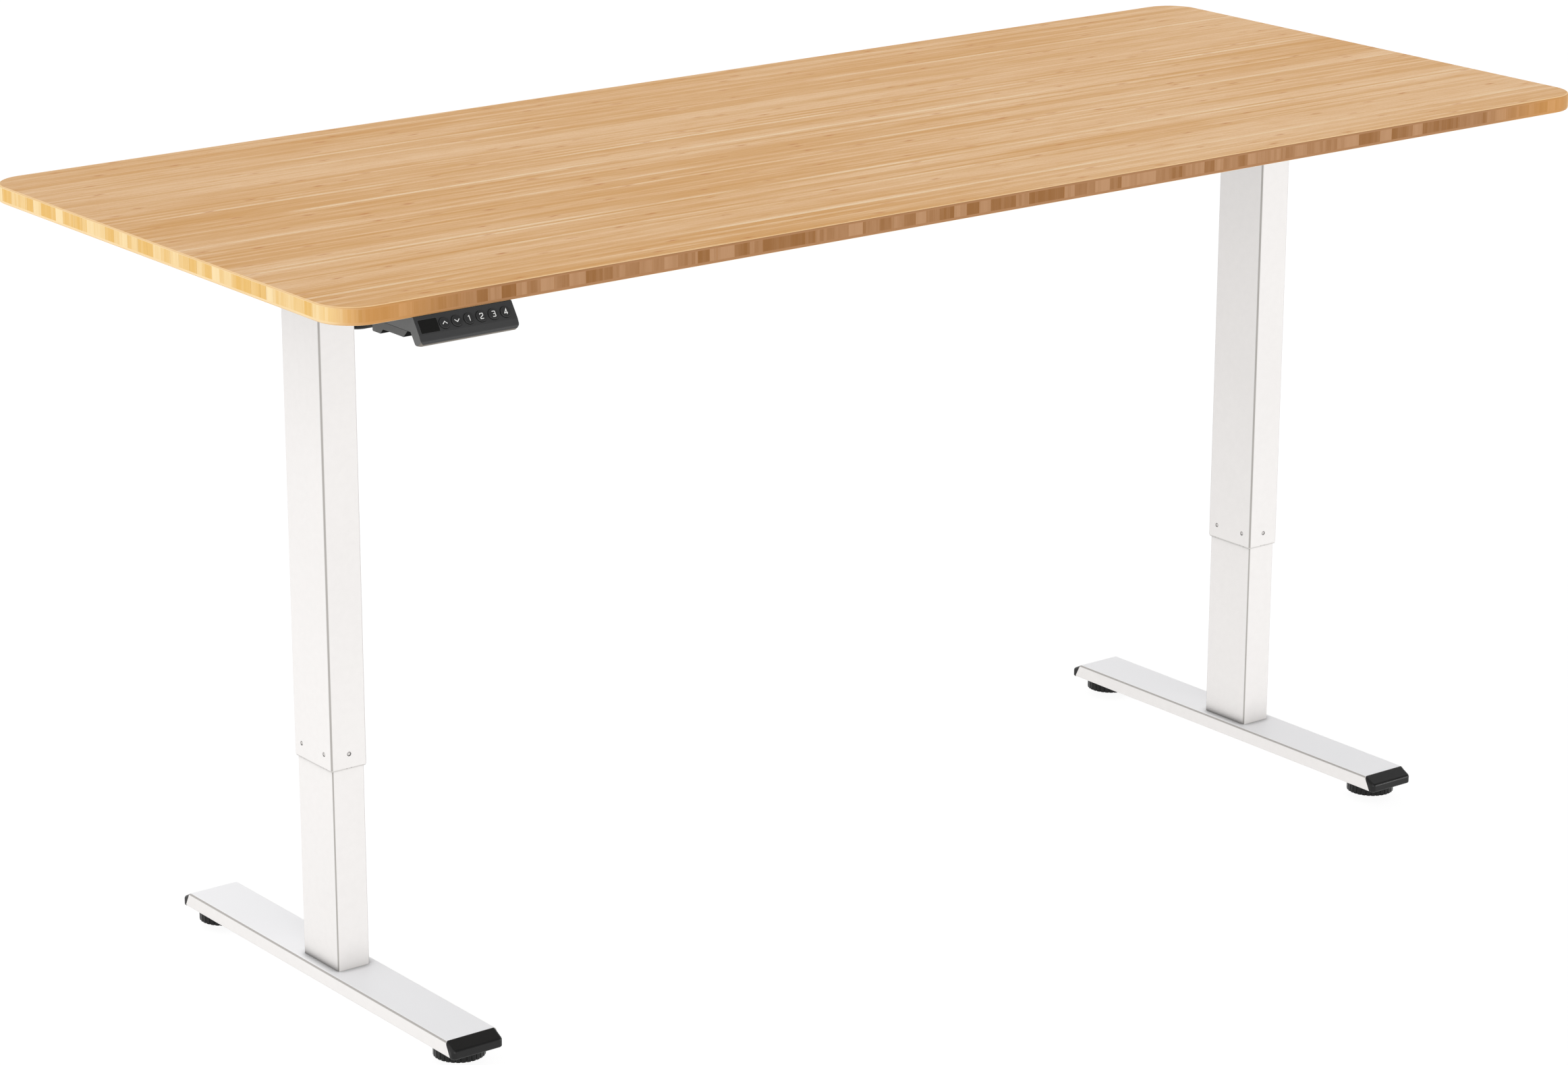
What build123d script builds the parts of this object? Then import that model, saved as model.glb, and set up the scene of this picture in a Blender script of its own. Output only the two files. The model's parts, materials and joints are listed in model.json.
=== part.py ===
"""Height adjustable standing desk: a bamboo top on two telescopic columns driven by one motor.

Millimetres, +Z up, +X along the long edge, -Y towards the user. The desk stands at the height
where its top is at desk_height. The origin is on the floor, under the middle of its outline.
"""

import os
from math import cos, radians, sin, tan

from build123d import *

os.makedirs("parts", exist_ok=True)

# Fits between pieces
slide_gap = 0.3
seat_gap = 0.1
running_gap = 0.08
parting_gap = 0.25

# Desktop
top_length = 1829.0
top_depth = 762.0
top_thick = 20.0
top_corner_r = 45.0
top_edge_r = 2.5
desk_height = 914.0

# Columns, outer tube above and inner tube below, a little in front of the middle of the top
column_inset = 203.5
column_forward = 6.5
outer_x = 48.0
outer_y = 80.0
outer_corner_r = 3.2
inner_corner_r = 2.4
tube_wall = 1.5
bush_space = 1.0
lift_down = 205.0
lift_up = 235.0
stop_gap = 4.0
bush_height = 36.0
bush_lip = 1.5
bush_clear = 9.5
bush_pin_r = 2.1
bush_pin_air = 0.6
bush_pin_recess = 0.4
bush_pin_dome = 0.5
bush_pin_taper = 35.0
bush_pin_height = 16.5
bush_pin_spread = 48.0
bush_tongue = 6.0
bush_slit = 0.6

# Feet, with mitred ends, plastic caps and levelling glides
foot_width = 68.0
foot_height = 18.7
foot_wall = 2.0
foot_edge_r = 3.0
foot_top_length = 560.0
foot_mitre = 9.9
cap_reach = 6.2
cap_band = 10.3
cap_corner_r = 5.5
cap_edge_r = 4.0
cap_foot_r = 2.0
cap_plug = 16.0
glide_r = 30.0
glide_height = 11.4
glide_inset = 23.4
glide_rim = 1.2
glide_groove_r = 1.1
glide_grooves = 30
stud_r = 4.0
stud_top_gap = 1.0
insert_r = 7.5
insert_height = 9.0

# Joint between column and foot
end_plate_thick = 8.0
foot_bolt_r = 4.0
foot_bolt_head_r = 6.5
foot_bolt_head = 7.0
foot_bolt_spread_x = 22.0
foot_bolt_spread_y = 50.0
access_r = 8.0

# Lift drive
spindle_r = 7.0
spindle_engage = 40.0
collar_r = 11.0
collar_height = 5.0
spindle_tip = 1.4
nut_height = 40.0
nut_flange = 3.0
gearbox_height = 80.0
shaft_flats = 10.0

# Frame under the top
bracket_thick = 2.5
bracket_height = 34.0
bracket_setback = 15.9
bracket_taper = 60.0
bracket_bend_r = 2.0
head_bolt_r = 3.0
head_bolt_head_r = 5.5
head_bolt_head = 3.3
head_bolt_grip = 12.0
head_bolt_spread = 44.0
screw_taper = 20.0
beam_depth = 25.0
beam_height = 40.0
beam_wall = 2.0
beam_end = 3.0
beam_bend_r = 1.6
beam_spread = 200.0
beam_bolt_drop = 10.0
beam_bolt_pitch = 15.0
wood_screw_r = 2.5
wood_screw_head_r = 5.0
wood_screw_head = 2.8
wood_screw_grip = 14.0
bracket_screw_inset = 30.0
beam_screw_offset = 20.0

# Motor on the left column
gearcase_x = 66.0
gearcase_y = 54.0
gearcase_height = 31.0
gearcase_over = 13.0
gearcase_r = 6.0
motor_r = 24.0
motor_height = 32.0
motor_end_r = 3.0
motor_air_top = 0.5
motor_air_below = 3.5
motor_air_side = 3.5
motor_air_end = 7.5
motor_cover_wall = 2.5
motor_cover_r = 20.0
motor_cover_edge_r = 5.0
bracket_air = 2.0

# Control box
control_x = -150.0
control_setback = 52.5
control_length = 180.0
control_depth = 100.0
control_height = 38.0
control_wall = 2.5
control_r = 8.0
control_edge_r = 4.0
control_ear = 16.0
control_plate = 3.0
control_post = 6.0
control_post_r = 3.0
control_post_inset = 10.0
socket_depth = 12.0
socket_sizes = ((22.0, 16.0), (16.0, 10.0), (16.0, 10.0))

# Handset under the front edge
handset_inset = 150.5
handset_depth = 78.6
handset_flange = 16.2
handset_wall = 2.4
handset_tilt = 34.0
handset_band_tilt = 24.0
handset_setback = 0.5
handset_drop = 29.3
handset_slab = 13.0
handset_lip_r = 4.5
handset_corner_r = 6.0
handset_corner_end = 31.0
handset_edge_r = 0.8
handset_solid_back = 16.6
tray_front = 11.0
tray_chamfer = 8.0
tray_drop = 24.5
tray_foot_drop = 30.0
tray_foot = 15.3
tray_foot_slope = 5.0
window_width = 23.0
window_height = 15.0
window_thick = 1.2
window_margin = 4.0
window_rim_top = 4.1
window_rim_bottom = 1.4
button_r = 6.25
button_hold = 0.65
button_flange = 1.1
button_proud = 1.3
button_stem_r = 2.0
button_stem = 1.7
button_travel = 0.8
button_edge_r = 0.6
button_gap = 1.35
button_web = 0.85
button_margin = 5.9
switch_side = 6.0
switch_height = 1.6
board_thick = 1.6
board_margin = 1.2

# Heights
foot_bottom = glide_height + slide_gap
foot_top = foot_bottom + foot_height
underside = desk_height - top_thick
tube_top = underside - bracket_thick
gearbox_bottom = tube_top - gearbox_height
inner_top = gearbox_bottom - lift_down - collar_height - nut_flange - stop_gap
outer_bottom = inner_top - lift_up - 2 * bush_height - bush_clear
spindle_bottom = inner_top - nut_height - lift_up - spindle_engage
cover_top = underside - bracket_height - bracket_air
gearcase_top = cover_top - motor_cover_wall - motor_air_top
gearcase_bottom = gearcase_top - gearcase_height
shaft_z = gearcase_top - gearcase_over
motor_bottom = gearcase_bottom - motor_height
cover_bottom = motor_bottom - motor_air_below - motor_cover_wall
head_bolt_z = underside - bracket_height / 2

# Plan
column_span = top_length - 2 * column_inset
column_x = column_span / 2
cavity_x = outer_x - 2 * tube_wall
cavity_y = outer_y - 2 * tube_wall
cavity_r = outer_corner_r - tube_wall
inner_x = cavity_x - 2 * bush_space
inner_y = cavity_y - 2 * bush_space
bore_x = inner_x - 2 * tube_wall
bore_y = inner_y - 2 * tube_wall
bore_r = inner_corner_r - tube_wall
bracket_width = outer_x + 2 * (seat_gap + bracket_thick)
shaft_bore_r = shaft_flats / 2 / cos(radians(30)) + slide_gap
foot_half = foot_top_length / 2
glide_spread = foot_top_length - 2 * glide_inset
bracket_length = top_depth - 2 * (column_forward + handset_depth + bracket_setback)
bracket_screw_spreads = (
    beam_spread + 2 * beam_screw_offset,
    bracket_length - 2 * bracket_screw_inset,
)
motor_cover_x = gearcase_x + motor_air_end + motor_cover_wall
motor_cover_y = gearcase_y + 2 * (motor_air_side + motor_cover_wall)
control_y = (beam_spread + beam_depth + control_depth) / 2 + control_setback
socket_pitch = (control_depth - 2 * control_r) / len(socket_sizes)
sides = {"left": -1, "right": 1}
ends = {"front": -1, "back": 1}

# Handset face, measured from its middle and down from its top edge
button_names = ("up", "down", "1", "2", "3", "4")
button_flange_r = button_r + slide_gap + button_hold
button_pitch = 2 * button_flange_r + button_web
button_row = 2 * button_r + (len(button_names) - 1) * button_pitch
handset_width = window_margin + window_width + button_gap + button_row + button_margin
handset_x = handset_inset - top_length / 2
window_x = window_margin + (window_width - handset_width) / 2
button_first_x = window_x + window_width / 2 + button_gap + button_r
panel_middle = window_rim_top + window_height / 2
handset_crease = panel_middle + window_height / 2 + window_rim_bottom
button_points = [
    (button_first_x + step * button_pitch, -panel_middle) for step in range(len(button_names))
]

# Handset profile, measured back from the front edge and down from the underside
front_edge = column_forward - top_depth / 2
tilt = radians(handset_tilt)
band_tilt = radians(handset_band_tilt)
crease = (handset_setback - handset_crease * sin(tilt), -handset_crease * cos(tilt))
band_fall = handset_drop + crease[1]
band_foot = (crease[0] - band_fall * tan(band_tilt), -handset_drop)
slab_top = handset_setback + (handset_slab - handset_flange * sin(tilt)) / cos(tilt)
slab_back = (slab_top, -handset_flange)
slab_foot = (slab_top - (handset_drop - handset_flange) * tan(tilt), -handset_drop)
lip_rise = band_fall - handset_lip_r
lip_middle = crease[0] + (handset_lip_r - lip_rise * sin(band_tilt)) / cos(band_tilt)
handset_reach = handset_lip_r - lip_middle
mid_y = handset_reach / 2 - column_forward

# Stack behind the handset's face, as depths below it
flange_depth = handset_wall + seat_gap
stem_depth = flange_depth + button_flange + button_stem
switch_depth = stem_depth + button_travel + slide_gap
board_depth = switch_depth + switch_height
board_room = board_depth + board_thick
board_height = handset_corner_end - handset_lip_r - handset_wall


def level(x, y, z):
    """Horizontal plane at a point, with y counted from the line of the columns."""
    return Plane(origin=(x, mid_y + y, z))


def across(x, y, z):
    """Plane facing +X: its own x runs along +Y and its own y runs along +Z."""
    return Plane(origin=(x, mid_y + y, z), x_dir=(0, 1, 0), z_dir=(1, 0, 0))


panel = Plane(
    origin=(handset_x, mid_y + front_edge + handset_setback, underside),
    x_dir=(1, 0, 0),
    z_dir=(0, -cos(tilt), sin(tilt)),
)


def save(builder, name):
    builder.part.label = name
    export_step(builder.part, f"parts/{name}.step")


def ring(width, depth, corner, hole_width, hole_depth, hole_corner):
    """Rounded rectangle with a rounded rectangular hole."""
    RectangleRounded(width, depth, corner)
    RectangleRounded(hole_width, hole_depth, hole_corner, mode=Mode.SUBTRACT)


# Desktop, with pilot holes for the wood screws
bracket_screw_points = [
    (side * column_x, end * spread / 2)
    for side in sides.values()
    for spread in bracket_screw_spreads
    for end in ends.values()
]
control_screw_points = [
    (control_x + end * (control_length + control_ear) / 2, control_y) for end in ends.values()
]
handset_screw_y = front_edge + handset_depth - handset_solid_back / 2
handset_screw_points = [
    (handset_x + end * (handset_width / 2 - handset_solid_back), handset_screw_y)
    for end in ends.values()
]
wood_screw_points = bracket_screw_points + control_screw_points + handset_screw_points

with BuildPart() as desktop:
    with BuildSketch(level(0, column_forward, underside)):
        RectangleRounded(top_length, top_depth, top_corner_r)
    extrude(amount=top_thick)
    rims = desktop.edges().group_by(Axis.Z)
    fillet(rims[0] + rims[-1], top_edge_r)
    with BuildSketch(level(0, 0, underside)):
        with Locations(*wood_screw_points):
            Circle(wood_screw_r + seat_gap)
    extrude(amount=wood_screw_grip + seat_gap, mode=Mode.SUBTRACT)
save(desktop, "desktop")


def bush_pin_planes(side):
    """Planes of the bush pins on one column's faces, each facing outwards with its own x upwards."""
    x = side * column_x
    z = outer_bottom + bush_pin_height
    planes = []
    for end in (-1, 1):
        for step in (-1, 1):
            spot = (x + end * outer_x / 2, mid_y + step * bush_pin_spread / 2, z)
            planes.append(Plane(origin=spot, x_dir=(0, 0, 1), z_dir=(end, 0, 0)))
        spot = (x, mid_y + end * outer_y / 2, z)
        planes.append(Plane(origin=spot, x_dir=(0, 0, 1), z_dir=(0, end, 0)))
    return planes


def head_bolt_planes(side):
    """Planes of the bolts through one bracket's flanges, each facing outwards."""
    x = side * column_x
    return [
        Plane(
            origin=(x + end * bracket_width / 2, mid_y + step * head_bolt_spread / 2, head_bolt_z),
            z_dir=(end, 0, 0),
        )
        for end in (-1, 1)
        for step in (-1, 1)
    ]


# Columns
for side_name, side in sides.items():
    x = side * column_x

    with BuildPart() as outer_tube:
        with BuildSketch(level(x, 0, outer_bottom)):
            ring(outer_x, outer_y, outer_corner_r, cavity_x, cavity_y, cavity_r)
        extrude(amount=tube_top - outer_bottom)
        for plane in bush_pin_planes(side):
            with BuildSketch(plane):
                Circle(bush_pin_r + bush_pin_air)
            extrude(amount=-2 * tube_wall, mode=Mode.SUBTRACT)
        for plane in head_bolt_planes(side):
            with BuildSketch(plane):
                Circle(head_bolt_r + seat_gap)
            extrude(amount=-(bracket_thick + 2 * tube_wall), mode=Mode.SUBTRACT)
        with BuildSketch(across(x, 0, shaft_z)):
            Circle(shaft_bore_r + slide_gap)
        extrude(amount=-side * outer_x, mode=Mode.SUBTRACT)
    save(outer_tube, f"outer_tube_{side_name}")

    with BuildPart() as lower_bush:
        with BuildSketch(level(x, 0, outer_bottom)):
            ring(
                cavity_x,
                cavity_y,
                cavity_r,
                inner_x + 2 * slide_gap,
                inner_y + 2 * slide_gap,
                inner_corner_r,
            )
        extrude(amount=bush_height)
        with BuildSketch(level(x, 0, outer_bottom)):
            ring(
                outer_x - tube_wall,
                outer_y - tube_wall,
                outer_corner_r - tube_wall / 2,
                inner_x + 2 * slide_gap,
                inner_y + 2 * slide_gap,
                inner_corner_r,
            )
        extrude(amount=-bush_lip)
        for plane in bush_pin_planes(side):
            with BuildSketch(plane):
                Circle(bush_pin_r + seat_gap)
                for edge in (-1, 1):
                    with Locations((-(bush_pin_height + bush_lip) / 2, edge * bush_tongue / 2)):
                        Rectangle(bush_pin_height + bush_lip, bush_slit)
            extrude(amount=-(tube_wall + bush_space), mode=Mode.SUBTRACT)
    save(lower_bush, f"lower_bush_{side_name}")

    with BuildPart() as inner_tube:
        with BuildSketch(level(x, 0, foot_top)):
            ring(inner_x, inner_y, inner_corner_r, bore_x, bore_y, bore_r)
        extrude(amount=inner_top - foot_top)
    save(inner_tube, f"inner_tube_{side_name}")

    with BuildPart() as upper_bush:
        with BuildSketch(level(x, 0, inner_top)):
            ring(
                cavity_x - 2 * slide_gap,
                cavity_y - 2 * slide_gap,
                cavity_r,
                inner_x,
                inner_y,
                inner_corner_r,
            )
        extrude(amount=-bush_height)
    save(upper_bush, f"upper_bush_{side_name}")

    with BuildPart() as drive_nut:
        with BuildSketch(level(x, 0, inner_top)):
            RectangleRounded(bore_x - 2 * seat_gap, bore_y - 2 * seat_gap, bore_r)
        extrude(amount=-nut_height)
        with BuildSketch(level(x, 0, inner_top)):
            RectangleRounded(inner_x, inner_y, inner_corner_r)
        extrude(amount=nut_flange)
        with BuildSketch(level(x, 0, inner_top - nut_height)):
            Circle(spindle_r + running_gap)
        extrude(amount=nut_height + nut_flange, mode=Mode.SUBTRACT)
    save(drive_nut, f"drive_nut_{side_name}")

    with BuildPart() as end_plate:
        with BuildSketch(level(x, 0, foot_top)):
            RectangleRounded(bore_x - 2 * seat_gap, bore_y - 2 * seat_gap, bore_r)
            with GridLocations(foot_bolt_spread_x, foot_bolt_spread_y, 2, 2):
                Circle(foot_bolt_r + seat_gap, mode=Mode.SUBTRACT)
        extrude(amount=end_plate_thick)
    save(end_plate, f"column_end_plate_{side_name}")

    spindle_top = shaft_z - shaft_bore_r - seat_gap
    with BuildPart() as spindle:
        with BuildSketch(level(x, 0, spindle_bottom)):
            Circle(spindle_r)
        extrude(amount=spindle_top - spindle_bottom)
        chamfer(spindle.edges().group_by(Axis.Z)[0], spindle_tip)
        with BuildSketch(level(x, 0, gearbox_bottom - slide_gap)):
            Circle(collar_r)
        extrude(amount=-(collar_height - slide_gap))
    save(spindle, f"spindle_{side_name}")

    with BuildPart() as gearbox:
        with BuildSketch(level(x, 0, gearbox_bottom)):
            RectangleRounded(cavity_x - 2 * seat_gap, cavity_y - 2 * seat_gap, cavity_r)
        extrude(amount=gearbox_height)
        with BuildSketch(level(x, 0, gearbox_bottom)):
            Circle(spindle_r + running_gap)
        extrude(amount=spindle_top + slide_gap - gearbox_bottom, mode=Mode.SUBTRACT)
        with BuildSketch(across(x - side * (spindle_r + seat_gap), 0, shaft_z)):
            Circle(shaft_bore_r)
        extrude(amount=-side * outer_x, mode=Mode.SUBTRACT)
        for plane in head_bolt_planes(side):
            with BuildSketch(plane):
                Circle(head_bolt_r + seat_gap)
            extrude(amount=-(head_bolt_grip + slide_gap), mode=Mode.SUBTRACT)
    save(gearbox, f"gearbox_{side_name}")

# Pins on the tongues of the lower bushes, which snap into holes in the outer tubes
with BuildPart() as bush_pins:
    for side in sides.values():
        for plane in bush_pin_planes(side):
            shoulder = plane.offset(-bush_pin_recess - bush_pin_dome)
            with BuildSketch(shoulder):
                Circle(bush_pin_r)
            extrude(amount=bush_pin_recess + bush_pin_dome + slide_gap - tube_wall - bush_space)
            with BuildSketch(shoulder):
                Circle(bush_pin_r)
            extrude(amount=bush_pin_dome, taper=bush_pin_taper)
save(bush_pins, "bush_pins")

# Hexagonal shaft that carries the drive from the left column to the right one
shaft_end = column_x - spindle_r - 2 * seat_gap - slide_gap
with BuildPart() as drive_shaft:
    with BuildSketch(across(-shaft_end, 0, shaft_z)):
        RegularPolygon(shaft_flats / 2, 6, major_radius=False)
    extrude(amount=2 * shaft_end)
save(drive_shaft, "drive_shaft")

# Feet
foot_bolt_points = [
    (column * foot_bolt_spread_x / 2, end * foot_bolt_spread_y / 2)
    for column in (-1, 1)
    for end in (-1, 1)
]
plug_end = foot_half + foot_mitre - cap_plug
plug_low = foot_wall + seat_gap
plug_high = foot_height - foot_wall - seat_gap


def mitre_at(height):
    """Distance from the middle of a foot to its mitred end, at a height above its bottom."""
    return foot_half + foot_mitre * (1 - height / foot_height)


for side_name, side in sides.items():
    x = side * column_x

    with BuildPart() as foot:
        with BuildSketch(across(x, 0, foot_bottom)):
            Polygon(
                (-foot_half - foot_mitre, 0),
                (foot_half + foot_mitre, 0),
                (foot_half, foot_height),
                (-foot_half, foot_height),
                align=None,
            )
        extrude(amount=foot_width / 2, both=True)
        fillet(foot.edges().filter_by(Axis.Y), foot_edge_r)
        with BuildSketch(across(x, 0, foot_bottom + foot_height / 2)):
            Rectangle(2 * (foot_half + foot_mitre), foot_height - 2 * foot_wall)
        extrude(amount=foot_width / 2 - foot_wall, both=True, mode=Mode.SUBTRACT)
        with BuildSketch(level(x, 0, foot_bottom)):
            with Locations(*foot_bolt_points):
                Circle(access_r)
            with GridLocations(0, glide_spread, 1, 2):
                Circle(stud_r + slide_gap)
        extrude(amount=foot_wall, mode=Mode.SUBTRACT)
        with BuildSketch(level(x, 0, foot_top)):
            with Locations(*foot_bolt_points):
                Circle(foot_bolt_r + seat_gap)
        extrude(amount=-foot_wall, mode=Mode.SUBTRACT)
    save(foot, f"foot_{side_name}")

    for end_name, end in ends.items():
        with BuildPart() as foot_cap:
            with BuildSketch(across(x, 0, foot_bottom)):
                Polygon(
                    (end * (foot_half + foot_mitre), 0),
                    (end * (foot_half + foot_mitre + cap_reach), 0),
                    (end * (foot_half + foot_mitre + cap_reach), cap_band),
                    (end * foot_half, foot_height),
                    align=None,
                )
            extrude(amount=foot_width / 2, both=True)
            nose = foot_cap.faces().sort_by(Axis.Y)[0 if end < 0 else -1]
            fillet(nose.edges().filter_by(Axis.Z), cap_corner_r)
            middle = (x, mid_y, foot_bottom)
            slope = foot_cap.faces().sort_by(Axis.Z)[-1]
            fillet(slope.edges().sort_by_distance(middle)[1:], cap_edge_r)
            sole = foot_cap.faces().sort_by(Axis.Z)[0]
            fillet(sole.edges().sort_by_distance(middle)[1:], cap_foot_r)
            with BuildSketch(across(x, 0, foot_bottom)):
                Polygon(
                    (end * plug_end, plug_low),
                    (end * mitre_at(plug_low), plug_low),
                    (end * mitre_at(plug_high), plug_high),
                    (end * plug_end, plug_high),
                    align=None,
                )
            extrude(amount=foot_width / 2 - foot_wall - seat_gap, both=True)
        save(foot_cap, f"foot_cap_{side_name}_{end_name}")

        y = end * glide_spread / 2
        with BuildPart() as glide:
            with BuildSketch(level(x, y, 0)):
                Circle(glide_r)
                with PolarLocations(glide_r, glide_grooves):
                    Circle(glide_groove_r, mode=Mode.SUBTRACT)
            extrude(amount=glide_height)
            with BuildSketch(level(x, y, glide_height)):
                Circle(glide_r)
                Circle(glide_r - glide_groove_r - glide_rim, mode=Mode.SUBTRACT)
            extrude(amount=-glide_rim, mode=Mode.SUBTRACT)
            with BuildSketch(level(x, y, glide_height)):
                Circle(stud_r)
            extrude(amount=foot_top - foot_wall - stud_top_gap - glide_height)
        save(glide, f"levelling_foot_{side_name}_{end_name}")

# Threaded inserts for the levelling feet, welded inside the foot tubes
with BuildPart() as inserts:
    with BuildSketch(level(0, 0, foot_bottom + foot_wall)):
        with GridLocations(column_span, glide_spread, 2, 2):
            Circle(insert_r)
            Circle(stud_r + running_gap, mode=Mode.SUBTRACT)
    extrude(amount=insert_height)
save(inserts, "levelling_inserts")

# Bolts from inside the feet up into the column end plates
with BuildPart() as foot_bolts:
    for side in sides.values():
        with BuildSketch(level(side * column_x, 0, foot_top - foot_wall)):
            with Locations(*foot_bolt_points):
                Circle(foot_bolt_head_r)
        extrude(amount=-foot_bolt_head)
        with BuildSketch(level(side * column_x, 0, foot_top - foot_wall)):
            with Locations(*foot_bolt_points):
                Circle(foot_bolt_r)
        extrude(amount=foot_wall + end_plate_thick)
save(foot_bolts, "foot_bolts")

# Support brackets under the top, one over each column
beam_bolt_points = [
    (end * beam_spread / 2, -beam_bolt_drop - row * beam_bolt_pitch)
    for end in ends.values()
    for row in (0, 1)
]
for side_name, side in sides.items():
    x = side * column_x
    inner_face = x - side * bracket_width / 2

    with BuildPart() as bracket:
        with BuildSketch(across(x, 0, underside)):
            Polygon(
                (-bracket_length / 2, 0),
                (bracket_length / 2, 0),
                (bracket_length / 2, -bracket_height / 2),
                (bracket_length / 2 - bracket_taper, -bracket_height),
                (bracket_taper - bracket_length / 2, -bracket_height),
                (-bracket_length / 2, -bracket_height / 2),
                align=None,
            )
        extrude(amount=bracket_width / 2, both=True)
        fillet(bracket.edges().filter_by(Axis.Y).group_by(Axis.Z)[-1], bracket_bend_r)
        with BuildSketch(level(x, 0, underside - bracket_thick)):
            Rectangle(bracket_width - 2 * bracket_thick, bracket_length)
        extrude(amount=-bracket_height, mode=Mode.SUBTRACT)
        with BuildSketch(level(0, 0, underside)):
            with Locations(*bracket_screw_points):
                Circle(wood_screw_r + seat_gap)
        extrude(amount=-bracket_thick, mode=Mode.SUBTRACT)
        for plane in head_bolt_planes(side):
            with BuildSketch(plane):
                Circle(head_bolt_r + seat_gap)
            extrude(amount=-bracket_thick, mode=Mode.SUBTRACT)
        with BuildSketch(across(inner_face, 0, underside)):
            with Locations(*beam_bolt_points):
                Circle(head_bolt_r + seat_gap)
        extrude(amount=side * bracket_thick, mode=Mode.SUBTRACT)
    save(bracket, f"side_bracket_{side_name}")

# Crossbeams between the brackets, channels that open towards each other
beam_length = column_span - bracket_width
for end_name, end in {"front": -1, "rear": 1}.items():
    with BuildPart() as beam:
        with BuildSketch(across(0, end * beam_spread / 2, underside - beam_height / 2)):
            Rectangle(beam_depth, beam_height)
        extrude(amount=beam_length / 2, both=True)
        fillet(beam.edges().filter_by(Axis.X), beam_bend_r)
        with BuildSketch(across(0, end * (beam_spread / 2 - beam_wall), underside - beam_height / 2)):
            Rectangle(beam_depth, beam_height - 2 * beam_wall)
        extrude(amount=beam_length / 2 - beam_end, both=True, mode=Mode.SUBTRACT)
        with BuildSketch(across(0, 0, underside)):
            with Locations(*[point for point in beam_bolt_points if point[0] * end > 0]):
                Circle(head_bolt_r + seat_gap)
        extrude(amount=beam_length / 2, both=True, mode=Mode.SUBTRACT)
    save(beam, f"crossbeam_{end_name}")

with BuildPart() as head_bolts:
    for side in sides.values():
        for plane in head_bolt_planes(side):
            with BuildSketch(plane):
                Circle(head_bolt_r)
            extrude(amount=-head_bolt_grip)
            with BuildSketch(plane):
                Circle(head_bolt_head_r)
            extrude(amount=head_bolt_head, taper=screw_taper)
save(head_bolts, "head_bolts")

with BuildPart() as beam_bolts:
    for side in sides.values():
        flange_face = side * (column_x - bracket_width / 2 + bracket_thick)
        with BuildSketch(across(flange_face, 0, underside)):
            with Locations(*beam_bolt_points):
                Circle(head_bolt_head_r)
        extrude(amount=side * head_bolt_head)
        with BuildSketch(across(flange_face, 0, underside)):
            with Locations(*beam_bolt_points):
                Circle(head_bolt_r)
        extrude(amount=-side * (bracket_thick + 2 * beam_end))
save(beam_bolts, "beam_bolts")


# Pan-head screws driven up into the desktop through whatever they hold
for name, points, seat in (
    ("bracket_screws", bracket_screw_points, bracket_thick),
    ("control_box_screws", control_screw_points, control_plate),
    ("handset_screws", handset_screw_points, tray_drop),
):
    with BuildPart() as wood_screws:
        with BuildSketch(level(0, 0, underside - seat)):
            with Locations(*points):
                Circle(wood_screw_head_r)
        extrude(amount=-wood_screw_head, taper=screw_taper)
        with BuildSketch(level(0, 0, underside - seat)):
            with Locations(*points):
                Circle(wood_screw_r)
        extrude(amount=seat + wood_screw_grip)
    save(wood_screws, name)

# Motor beside the left column: gear case on the shaft, motor below it and a cover over both
motor_face = -column_x + outer_x / 2
cover_x = motor_face + motor_cover_x / 2
with BuildPart() as gearcase:
    with BuildSketch(level(motor_face + gearcase_x / 2, 0, gearcase_bottom)):
        RectangleRounded(gearcase_x, gearcase_y, gearcase_r)
    extrude(amount=gearcase_height)
    with BuildSketch(across(motor_face, 0, shaft_z)):
        Circle(shaft_bore_r)
    extrude(amount=gearcase_x, mode=Mode.SUBTRACT)
save(gearcase, "motor_gearcase")

with BuildPart() as motor:
    with BuildSketch(level(cover_x, 0, gearcase_bottom)):
        Circle(motor_r)
    extrude(amount=-motor_height)
    fillet(motor.edges().group_by(Axis.Z)[0], motor_end_r)
save(motor, "motor")

with BuildPart() as motor_cover:
    with BuildSketch(level(cover_x, 0, cover_bottom)):
        RectangleRounded(motor_cover_x, motor_cover_y, motor_cover_r)
    extrude(amount=cover_top - cover_bottom)
    fillet(motor_cover.edges().group_by(Axis.Z)[0], motor_cover_edge_r)
    with BuildSketch(level(cover_x, 0, cover_bottom + motor_cover_wall)):
        RectangleRounded(
            motor_cover_x - 2 * motor_cover_wall,
            motor_cover_y - 2 * motor_cover_wall,
            motor_cover_r - motor_cover_wall,
        )
    extrude(amount=cover_top - cover_bottom - 2 * motor_cover_wall, mode=Mode.SUBTRACT)
    with BuildSketch(level(motor_face, 0, gearcase_bottom - seat_gap)):
        Rectangle(2 * motor_cover_r, gearcase_y + 2 * seat_gap)
    extrude(amount=gearcase_height + 2 * seat_gap, mode=Mode.SUBTRACT)
    with BuildSketch(across(cover_x, 0, shaft_z)):
        Circle(shaft_bore_r)
    extrude(amount=motor_cover_x, mode=Mode.SUBTRACT)
save(motor_cover, "motor_cover")

# Control box behind the rear crossbeam
with BuildPart() as control_base:
    with BuildSketch(level(control_x, control_y, underside)):
        RectangleRounded(control_length, control_depth, control_r)
        with GridLocations(control_length + control_ear, 0, 2, 1):
            Rectangle(control_ear, 2 * control_ear)
        with GridLocations(control_length + control_ear, 0, 2, 1):
            Circle(wood_screw_r + seat_gap, mode=Mode.SUBTRACT)
    extrude(amount=-control_plate)
save(control_base, "control_box_base")

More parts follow.
